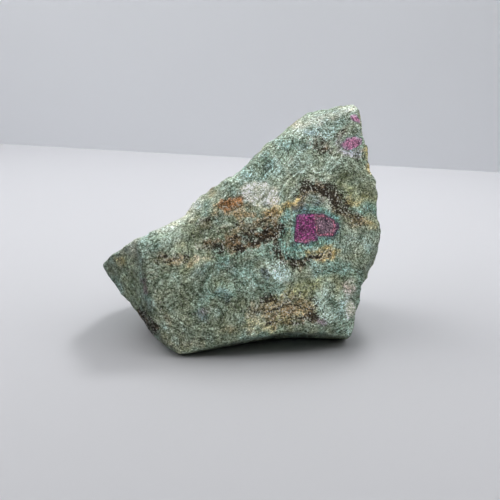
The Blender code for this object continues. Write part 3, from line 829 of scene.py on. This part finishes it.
def flow_places(points):
    """Place along and across the strands: for each run of the foliation the
    offset from its middle along the strand over the stretch, across it and
    through it, blended by a bell curve of the distance to that middle."""
    total, weight = 0.0, 0.0
    middles = np.array([row[0:3] for row in FLOWS], dtype=float)
    apart = ((points[:, None, :] - middles[None, :, :]) ** 2).sum(-1)
    share = np.exp((apart.min(1)[:, None] - apart) / (2.0 * FLOW_SPREAD ** 2))
    for k, (_, _, _, azimuth, elevation, angle) in enumerate(FLOWS):
        normal, away = facing(azimuth, elevation), points - middles[k]
        side = unit(np.cross(UP, normal)) if abs(elevation) < 89 else np.array([1.0, 0.0, 0.0])
        turn = math.radians(angle)
        strand = side * math.cos(turn) + np.cross(normal, side) * math.sin(turn)
        axes = (strand / STRAND_STRETCH, np.cross(normal, strand), normal)
        local = np.stack([away @ axis for axis in axes], -1)
        total, weight = total + share[:, k, None] * local, weight + share[:, k]
    return total / weight[:, None]


def make_mesh(name, points, faces, material):
    """Object from an array of points, in millimetres, and a list of faces."""
    mesh = bpy.data.meshes.new(name)
    mesh.from_pydata((points * MM).tolist(), [], faces)
    mesh.update()
    mesh.shade_smooth()
    mesh.materials.append(material)
    item = bpy.data.objects.new(name, mesh)
    bpy.context.scene.collection.objects.link(item)
    return item


def put(item, name, kind, values):
    """Stores a number, a vector or a colour per point."""
    if kind == "FLOAT_COLOR":
        values = np.column_stack([values, np.ones(len(values))])
    field = {"FLOAT": "value", "FLOAT_VECTOR": "vector", "FLOAT_COLOR": "color"}[kind]
    layer = item.data.attributes.new(name, kind, "POINT")
    layer.data.foreach_set(field, np.asarray(values, dtype=np.float32).ravel())


class Nodes:
    """Short calls for building a material's node tree. A source is a number, a
    colour or another node's output."""

    def __init__(self, name):
        self.material = bpy.data.materials.new(name)
        self.material.use_nodes = True
        self.tree = self.material.node_tree
        self.shader = self.tree.nodes["Principled BSDF"]

    def feed(self, socket, source):
        if isinstance(source, (int, float)):
            socket.default_value = source
        elif isinstance(source, tuple):
            socket.default_value = source + (1.0,) * (len(socket.default_value) - len(source))
        else:
            self.tree.links.new(source, socket)

    def add(self, kind, sources, **settings):
        node = self.tree.nodes.new(kind)
        for key, value in settings.items():
            setattr(node, key, value)
        for socket, source in sources.items():
            self.feed(node.inputs[socket], source)
        return node

    def place(self):
        return self.add("ShaderNodeTexCoord", {}).outputs["Object"]

    def attribute(self, name, output="Fac"):
        return self.add("ShaderNodeAttribute", {}, attribute_name=name).outputs[output]

    def maths(self, operation, *values, clamp=False):
        sources = dict(enumerate(values))
        return self.add("ShaderNodeMath", sources, operation=operation, use_clamp=clamp).outputs[0]

    def vector(self, operation, sources):
        return self.add("ShaderNodeVectorMath", sources, operation=operation).outputs[0]

    def between(self, value, low, high, to_low=0.0, to_high=1.0):
        sources = {0: value, 1: low, 2: high, 3: to_low, 4: to_high}
        return self.add("ShaderNodeMapRange", sources, clamp=True).outputs[0]

    def mixed(self, share, a, b, blend="MIX"):
        sources = {0: share, 6: a, 7: b}
        return self.add("ShaderNodeMix", sources, data_type="RGBA", blend_type=blend).outputs[2]

    def times(self, a, b):
        return self.mixed(1.0, a, b, "MULTIPLY")

    def total(self, start, terms, middle=0.0):
        """Start plus each source, less the middle, times its weight."""
        for source, weight in terms:
            if middle:
                source = self.maths("SUBTRACT", source, middle)
            start = self.maths("ADD", start, self.maths("MULTIPLY", source, weight))
        return start

    def noise(self, vector, size_mm, detail=3.0, roughness=0.55):
        sources = {"Vector": vector, "Scale": 1.0 / (size_mm * MM)}
        sources.update({"Detail": detail, "Roughness": roughness})
        return self.add("ShaderNodeTexNoise", sources).outputs["Fac"]

    def flakes(self, vector, size_mm):
        """Random colour of each flake, and its three parts."""
        cells = self.add("ShaderNodeTexVoronoi", {"Vector": vector, "Scale": 1.0 / (size_mm * MM)})
        colour = cells.outputs["Color"]
        return colour, self.add("ShaderNodeSeparateColor", {0: colour}).outputs

    def layer_lines(self, run, half, mask, low, high):
        """Thin lines where a noise passes one half, kept to where the mask is
        high."""
        away = self.maths("ABSOLUTE", self.maths("SUBTRACT", run, 0.5))
        line = self.between(away, 0.0, half, 1.0, 0.0)
        return self.maths("MULTIPLY", line, self.between(mask, low, high))

    def tilted(self, flake, height, relief_mm, tilt):
        """Bumped normal, tilted on each flake by the flake's own colour."""
        sources = {"Height": height, "Strength": 1.0, "Distance": relief_mm * MM}
        bumped = self.add("ShaderNodeBump", sources).outputs["Normal"]
        away = self.vector("SUBTRACT", {0: flake, 1: (0.5, 0.5, 0.5)})
        scaled = self.vector("SCALE", {0: away, "Scale": tilt})
        return self.vector("NORMALIZE", {0: self.vector("ADD", {0: bumped, 1: scaled})})

    def finish(self, specular, colour, roughness, normal=None):
        """Feeds the shader's sockets and returns the material."""
        sources = {"Specular IOR Level": specular, "Base Color": colour, "Roughness": roughness}
        if normal is not None:
            sources["Normal"] = normal
        for name, source in sources.items():
            self.feed(self.shader.inputs[name], source)
        return self.material


def muted(n, tint, low, high, least):
    """Contrast of the grain: 1 on dark tints, down to the least on pale ones."""
    paleness = n.add("ShaderNodeRGBToBW", {"Color": tint}).outputs["Val"]
    return n.between(paleness, low, high, 1.0, least)


def lightened(n, tint, level):
    """The tint times e to the level."""
    level = n.maths("EXPONENT", level)
    grey = n.add("ShaderNodeCombineColor", {0: level, 1: level, 2: level}).outputs[0]
    return n.times(tint, grey)


def schist_material(look):
    """Fuchsite schist: the painted minerals times a salt and pepper grain of
    mica flakes and of strands along the foliation, with dark creases and pale
    veins between them, cooler and warmer patches, fibres in the rims, black
    pores where it is rotten, and pale sparkles, most there, painted in as highlight."""
    n = Nodes("fuchsite_schist")
    place = n.place()
    tint = n.attribute("tint", "Color")
    stain = n.attribute("stain")
    rim = n.attribute("rim")
    flow = n.attribute("flow", "Vector")
    flake, flakes = n.flakes(place, look.flake_mm)
    _, chips = n.flakes(place, look.flake_mm * 2.4)
    broad = n.noise(place, 9.0, 3.0, 0.5)
    soft = n.noise(place, 2.4, 5.0, 0.7)
    dust = n.noise(place, 0.40, 1.0, 0.5)
    hue = n.noise(place, 5.0, 3.0, 0.5)
    strand = n.noise(flow, 0.45, 4.0, 0.8)
    streak = n.noise(flow, 1.0, 3.0, 0.6)
    fold = n.noise(flow, 2.6, 3.0, 0.6)
    ply = n.noise(flow, 1.7, 2.0, 0.6)
    thread = n.noise(n.attribute("fibre", "Vector"), 0.8, 3.0, 0.65)
    # Creases: thin dark lines along the foliation, sunk in the bump; their dark colour is partly painted
    # shade in the fine cracks.
    crease = n.layer_lines(fold, 0.03, soft, 0.36, 0.54)
    vein = n.layer_lines(ply, 0.035, soft, 0.44, 0.60)

    # grain: how light each spot is, against the tint it lies on
    weights = ((flakes[0], 1.7), (chips[0], 0.3), (broad, 1.0), (soft, 1.8), (dust, 3.4), (strand, 6.6))
    level = n.total(-0.08, weights, middle=0.5)
    level = n.total(level, ((crease, -0.6), (vein, 0.2)))
    fibres = n.maths("MULTIPLY", n.maths("SUBTRACT", thread, 0.5), 1.2)
    level = n.total(level, ((rim, fibres),))
    grain_cast = n.mixed(n.between(level, -0.9, 0.9), look.shade_cast[:], look.light_cast[:])
    level = n.maths("MINIMUM", n.maths("MULTIPLY", level, 1.15), n.maths("MULTIPLY", level, 0.60))
    level = n.maths("MULTIPLY", level, muted(n, tint, 0.45, 0.75, 0.6))
    colour = n.times(lightened(n, tint, n.maths("ADD", level, 0.20)), grain_cast)
    patch_cast = n.mixed(n.between(hue, 0.36, 0.64), look.cool_cast[:], look.warm_cast[:])
    colour = n.times(colour, patch_cast)
    colour = n.mixed(n.between(flakes[1], 0.80, 0.86, 0.0, 0.22), colour, look.mica_pale[:])
    colour = n.mixed(n.between(flakes[1], 0.10, 0.16, 0.45, 0.0), colour, look.mica_dark[:])

    # rot: black pores where the noise falls under the share of stain
    pore = n.total(n.maths("MULTIPLY", streak, 0.65), ((dust, 0.35),))
    pore = n.maths("ADD", pore, n.between(flakes[1], 0.0, 1.0, -0.05, 0.05))
    limit = n.between(stain, 0.0, 1.0, 0.34, 0.53)
    rot = n.between(n.maths("SUBTRACT", limit, pore), -0.01, 0.02)
    colour = n.mixed(n.maths("MULTIPLY", rot, 0.94), colour, PALETTE["pitch"])
    # Painted highlight: a few flakes take a pale glint colour in place of the light they catch, most where
    # it is rotten.
    glint = n.maths("MULTIPLY", n.between(flakes[2], 0.90, 0.93), n.between(stain, 0.0, 0.6, 0.08, 0.55))
    glint = n.maths("MULTIPLY", glint, n.maths("SUBTRACT", 1.0, rim), clamp=True)
    colour = n.mixed(glint, colour, look.painted_mica_glint[:])

    height = n.total(soft, ((dust, 0.5), (strand, 0.8), (crease, -0.35), (chips[2], 0.25)))
    shiny = n.between(flakes[2], 0.55, 0.95)
    tilt = n.maths("MULTIPLY", n.between(shiny, 0.0, 1.0, 0.35, 1.0), 0.9)
    normal = n.tilted(flake, height, look.grain_relief_mm, tilt)
    return n.finish(0.3, colour, n.between(shiny, 0.0, 1.0, 0.75, 0.34), normal)


def ruby_material(look):
    """Ruby: the painted tint times a fine grain that is muted where the tint is
    pale, with dark specks, a few pale ones and a waxy gloss."""
    n = Nodes("ruby_crystal")
    place = n.place()
    tint = n.attribute("tint", "Color")
    flake, flakes = n.flakes(place, 0.40)
    soft = n.noise(place, 1.3, 3.0, 0.6)
    dust = n.noise(place, 0.5, 2.0, 0.6)
    level = n.total(-0.05, ((flakes[0], 1.7), (soft, 2.2), (dust, 5.0)), middle=0.5)
    colour = lightened(n, tint, n.maths("MULTIPLY", level, muted(n, tint, 0.12, 0.25, 0.5)))
    colour = n.mixed(n.between(flakes[1], 0.84, 0.90, 0.0, 0.30), colour, look.ruby_pale[:])
    colour = n.mixed(n.between(flakes[1], 0.18, 0.24, 0.75, 0.0), colour, look.ruby_speck[:])
    normal = n.tilted(flake, n.total(soft, ((dust, 0.6),)), 0.40, 0.5)
    return n.finish(0.35, colour, n.between(flakes[2], 0.0, 1.0, 0.35, 0.65), normal)


def plain_material(name, colour, roughness):
    """Even paper or board with a faint tone."""
    n = Nodes(name)
    level = n.between(n.noise(n.place(), 260.0, 2.0), 0.3, 0.7)
    darker = tuple(c * 0.985 for c in colour)
    return n.finish(0.2, n.mixed(level, darker, colour), roughness)


def count(label, about, default, low, high):
    """A whole-number setting."""
    return bpy.props.IntProperty(name=label, description=about, default=default, min=low, max=high)


def measure(label, about, default, low, high):
    """A length setting in millimetres."""
    return bpy.props.FloatProperty(name=label, description=about, default=default, min=low, max=high)


def power(label, about, default):
    """A lamp setting in watts."""
    return bpy.props.FloatProperty(
        name=label, description=about, default=default, min=0.0, subtype="POWER"
    )


def tone(label, about, default):
    """A colour setting."""
    return bpy.props.FloatVectorProperty(
        name=label, description=about, subtype="COLOR", size=3, default=default, min=0.0, max=1.0
    )


class StoneLook(bpy.types.PropertyGroup):
    """Sizes and colours of the specimen."""

    across: count("Across", "Grid steps along the stone", 176, 40, 180)
    deep: count("Deep", "Grid steps through the stone", 70, 20, 72)
    tall: count("Tall", "Grid steps up the stone", 146, 30, 148)
    flake_mm: measure("Flake", "Width of a mica flake in millimetres", 0.45, 0.2, 2.0)
    grain_relief_mm: measure("Grain relief", "Height of the grain in millimetres", 0.6, 0.0, 1.0)
    shade_cast: tone("Shade cast", "Tone of the dark grains", (0.92, 1.00, 0.79))
    light_cast: tone("Light cast", "Tone of the light grains", (0.94, 0.92, 0.99))
    cool_cast: tone("Cool cast", "Tone of the bluer patches", (0.90, 0.99, 1.00))
    warm_cast: tone("Warm cast", "Tone of the yellower patches", (1.00, 0.98, 0.88))
    # Painted highlight: the colour given to flakes that stand in for glints.
    painted_mica_glint: tone("Mica glint", "Colour of flakes that catch the light", (0.85, 0.86, 0.78))
    mica_pale: tone("Pale mica", "Colour of the pale flakes", (0.66, 0.70, 0.60))
    mica_dark: tone("Dark mica", "Colour of the dark flakes", (0.06, 0.08, 0.06))
    ruby_deep: tone("Deep ruby", "Colour of the deeper domain", (0.215, 0.038, 0.145))
    ruby_dull: tone("Dull ruby", "Colour of the duller domain", (0.220, 0.135, 0.180))
    ruby_rose: tone("Rosy ruby", "Colour of the duller domain's margin", (0.370, 0.105, 0.165))
    ruby_bright: tone("Bright ruby", "Colour of the small crystals", (0.520, 0.210, 0.360))
    ruby_pale: tone("Ruby glint", "Colour of pale specks in the ruby", (0.500, 0.360, 0.460))
    ruby_speck: tone("Ruby speck", "Colour of dark specks in the ruby", (0.035, 0.020, 0.055))


class StageLook(bpy.types.PropertyGroup):
    """Colours of the table and the backdrop, and power of the lights."""

    floor: tone("Table", "Colour of the table", (0.70, 0.705, 0.735))
    wall: tone("Backdrop", "Colour of the backdrop", (0.94, 0.96, 1.0))
    rear_watts: power("Rear light", "Power of the light above the backdrop", 1.2)
    top_watts: power("Top light", "Power of the overhead light", 1.1)
    fill_watts: power("Front light", "Power of the front light", 2.6)
    table_watts: power("Table lights", "Power of the lights on table and backdrop", 1.0)
    ambient: bpy.props.FloatProperty(
        name="Ambient", description="Strength of the surrounding light", default=0.0, min=0.0
    )


class SPECIMEN_OT_stone(bpy.types.Operator):
    """Builds the fuchsite schist with its stains and kyanite rims"""

    bl_idname = "specimen.stone"
    bl_label = "Stone"

    def execute(self, context):
        look = context.scene.stone_look
        rays, faces = divided_box((look.across, look.deep, look.tall))
        points = stone_points(rays)
        rims = {name: crystal_distance(points, group) for name, group in RUBIES.items()}
        nearest = np.min([away for away, _ in rims.values()], axis=0)
        colour, rim, fibre = stone_colours(points, rays, rims, nearest)
        stain = stain_share(points, rays) * (1.0 - rim)
        sunk = POCKET_DEPTH * ease((-0.1 - nearest) / 0.6)
        points = points - rays * sunk[:, None]
        item = make_mesh("fuchsite_stone", points, faces, schist_material(look))
        put(item, "tint", "FLOAT_COLOR", colour)
        put(item, "stain", "FLOAT", stain)
        put(item, "rim", "FLOAT", rim)
        put(item, "fibre", "FLOAT_VECTOR", fibre * MM)
        put(item, "flow", "FLOAT_VECTOR", flow_places(points) * MM)
        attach(item, "root")
        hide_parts("fuchsite_matrix")
        return {"FINISHED"}


def crystal_surface(group, rings, turns):
    """Points and faces of a crystal or of two grown together. The outline's
    radius at each angle is the furthest of 800 steps, out to 16 mm, that lies
    inside any crystal's own. The end is a disc of rings laid on the stone, a
    little raised and rounded at its rim, and the sides sink to a flat bottom."""
    frames = [crystal_frame(crystal) for crystal in group]
    centre = sum(frame[0] for frame in frames) / len(frames)
    side, lift, axis = frames[0][1:]
    angle = np.arange(turns) * 2.0 * math.pi / turns
    cos, sin = np.cos(angle), np.sin(angle)
    reach = np.linspace(0.0, 16.0, 800)
    a, b = cos[:, None] * reach, sin[:, None] * reach
    inside = np.zeros(a.shape, dtype=bool)
    for (_, _, corners), frame in zip(group, frames):
        off = centre - frame[0]
        inside |= outline_ratio(a + off @ side, b + off @ lift, corners) < 1.0
    radius = reach[inside.shape[1] - 1 - np.argmax(inside[:, ::-1], axis=1)]
    flat = centre + radius[:, None] * (cos[:, None] * side + sin[:, None] * lift)
    radius = radius + 0.22 * rough(flat, 1.6, 71, 2)

    share = np.linspace(0.0, 1.0, rings + 1)[1:]
    grid = share[:, None] * radius[None, :]
    spot = centre + (grid * cos)[..., None] * side + (grid * sin)[..., None] * lift
    spot = np.concatenate([centre[None, :], spot.reshape(-1, 3)])
    ray = unit(spot - HEART)
    depth = np.concatenate([[1.0], np.repeat(1.0 - share ** 6, turns)])
    facet = 0.16 * rough(spot, 1.3, 73, 2)
    top = stone_points(ray, 0.45) + ray * (CRYSTAL_LIFT + 0.20 * depth + facet * depth)[:, None]
    bottom = top[-turns:] - axis * CRYSTAL_DEPTH
    end = centre - axis * CRYSTAL_DEPTH
    points = np.concatenate([top, bottom, end[None, :]])

    k = np.arange(turns)
    n = (k + 1) % turns
    fan = np.stack([0 * k, 1 + k, 1 + n], 1)
    row = 1 + turns * np.arange(rings + 1)[:, None]
    quads = np.stack([row[:-1] + k, row[1:] + k, row[1:] + n, row[:-1] + n], -1).reshape(-1, 4)
    close = np.stack([row[-1] + n, row[-1] + k, 0 * k + len(points) - 1], 1)
    return points, fan.tolist() + quads.tolist() + close.tolist()


def crystal_colours(points, name, group, look):
    """The first crystal deep, with a rosy foot, the second dull and lined
    inside a rosy margin, the small ones bright; all darken at the edge."""
    body, seam, strength = look.ruby_deep[:], PALETTE["slate"], 0.8
    if name in SMALL_RUBIES:
        body, seam, strength = look.ruby_bright[:], PALETTE["lilac"], 0.6
    colour = np.tile(np.array(body), (len(points), 1))
    fine = rough(points, 0.8, 77, 2)
    inside = [crystal_inside(points, crystal) for crystal in group]
    if len(group) > 1:
        centre, _, lift, _ = crystal_frame(group[0])
        rosy = ease((-((points - centre) @ lift) - 4.0 + 0.5 * fine) / 0.6)
        colour = mix(colour, look.ruby_rose[:], 0.7 * rosy)
        dull = np.tile(np.array(look.ruby_dull[:]), (len(points), 1))
        margin = 1.0 - ease((inside[1] + 0.5 * fine - 0.9) / 0.8)
        dull = mix(dull, look.ruby_rose[:], 0.8 * margin)
        line = np.abs(np.mod(inside[1] + 0.25 * fine, 0.9) - 0.45)
        dull = dull * (1.0 - 0.55 * ease(1.0 - line / 0.22))[:, None]
        colour = mix(colour, dull, ease((inside[1] - inside[0]) * 0.8 + 0.5))
    edge = 1.0 - ease((np.max(inside, axis=0) + 0.5 * fine - 0.15) / 0.7)
    colour = mix(colour, seam, strength * edge)
    return np.clip(colour * (1.0 + 0.30 * rough(points, 2.6, 75, 3))[:, None], 0.0, 1.0)


class SPECIMEN_OT_rubies(bpy.types.Operator):
    """Builds the ruby crystals in their places in the stone"""

    bl_idname = "specimen.rubies"
    bl_label = "Rubies"

    def execute(self, context):
        look = context.scene.stone_look
        material = ruby_material(look)
        for name, group in RUBIES.items():
            size = max(outline_size(corners) for _, _, corners in group)
            rings, turns = int(10 + 5 * size), int(60 + 16 * size)
            points, faces = crystal_surface(group, rings, turns)
            item = make_mesh(name + "_crystal", points, faces, material)
            put(item, "tint", "FLOAT_COLOR", crystal_colours(points, name, group, look))
            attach(item, "root")
            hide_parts(name)
        return {"FINISHED"}


def look_angles(aim):
    """Euler angles that turn -Z along a direction, with +Y up."""
    flat = math.hypot(aim[0], aim[1])
    return (math.atan2(flat, -aim[2]), 0.0, math.atan2(-aim[0], aim[1]))


def add_light(name, place, size, watts, colour, receivers):
    """A soft rectangular light, in metres, that looks at the stone and shines
    on its receivers only."""
    data = bpy.data.lights.new(name, "AREA")
    data.shape = "RECTANGLE"
    data.size, data.size_y = size
    data.energy = watts
    data.color = colour
    item = bpy.data.objects.new(name, data)
    bpy.context.scene.collection.objects.link(item)
    item.location = place
    item.rotation_euler = look_angles(LIGHTS_AIM - np.array(place))
    lit = bpy.data.collections.new(name + "_receivers")
    for receiver in receivers:
        lit.objects.link(receiver)
    item.light_linking.receiver_collection = lit


class SPECIMEN_OT_stage(bpy.types.Operator):
    """Builds the table, the backdrop, the soft lights and the camera"""

    bl_idname = "specimen.stage"
    bl_label = "Stage"

    def execute(self, context):
        look = context.scene.stage_look
        quad = [(0, 1, 2, 3)]
        flat = np.array([(-1, -1, 0), (1, -1, 0), (1, 1, 0), (-1, 1, 0)]) * TABLE_REACH
        floor = make_mesh("table", flat, quad, plain_material("table_board", look.floor[:], 0.75))
        run = np.array([math.cos(BACKDROP_TURN), math.sin(BACKDROP_TURN), 0.0]) * TABLE_REACH
        rise = BACKDROP_HEIGHT * UP
        wall = BACKDROP_FOOT + np.array([-run, run, run + rise, rise - run])
        paper = plain_material("backdrop_paper", look.wall[:], 0.85)
        backdrop = make_mesh("backdrop", wall, quad, paper)

        pieces = [item for item in context.scene.objects if item.name in STONE_PIECES]
        for name, place, size, watts in STONE_LIGHTS:
            add_light(name, place, size, getattr(look, watts), WARM_WHITE, pieces)
        for name, place, size, share in TABLE_LIGHTS:
            add_light(name, place, size, share * look.table_watts, WHITE, [floor, backdrop])
        world = bpy.data.worlds.new("soft_room")
        world.use_nodes = True
        sky = world.node_tree.nodes["Background"]
        sky.inputs["Color"].default_value = SKY_WHITE
        sky.inputs["Strength"].default_value = look.ambient
        context.scene.world = world

        data = bpy.data.cameras.new("camera")
        data.lens = LENS
        data.sensor_width = SENSOR
        data.clip_start = 0.01
        camera = bpy.data.objects.new("camera", data)
        context.scene.collection.objects.link(camera)
        camera.location = CAMERA_PLACE
        camera.rotation_euler = (CAMERA_TILT, 0.0, 0.0)
        context.scene.camera = camera
        context.scene.view_settings.view_transform = "Standard"
        return {"FINISHED"}


class SPECIMEN_PT_panel(bpy.types.Panel):
    """Lists the specimen's settings and steps"""

    bl_idname = "SPECIMEN_PT_panel"
    bl_label = "Ruby in Fuchsite"
    bl_space_type = "VIEW_3D"
    bl_region_type = "UI"
    bl_category = "Stone"

    def draw(self, context):
        layout = self.layout
        for group in (context.scene.stone_look, context.scene.stage_look):
            for key in group.bl_rna.properties.keys():
                if key not in ("rna_type", "name"):
                    layout.prop(group, key)
        for operator in ("specimen.stone", "specimen.rubies", "specimen.stage"):
            layout.operator(operator)


CLASSES = (
    StoneLook,
    StageLook,
    SPECIMEN_OT_stone,
    SPECIMEN_OT_rubies,
    SPECIMEN_OT_stage,
    SPECIMEN_PT_panel,
)


def register():
    """Makes the classes and the scene's settings known."""
    for item in CLASSES:
        bpy.utils.register_class(item)
    bpy.types.Scene.stone_look = bpy.props.PointerProperty(type=StoneLook)
    bpy.types.Scene.stage_look = bpy.props.PointerProperty(type=StageLook)


def unregister():
    """Takes them away again, in reverse."""
    del bpy.types.Scene.stage_look
    del bpy.types.Scene.stone_look
    for item in reversed(CLASSES):
        bpy.utils.unregister_class(item)


def main():
    """Builds everything in order."""
    register()
    bpy.ops.specimen.stone()
    bpy.ops.specimen.rubies()
    bpy.ops.specimen.stage()


if __name__ == "__main__":
    main()
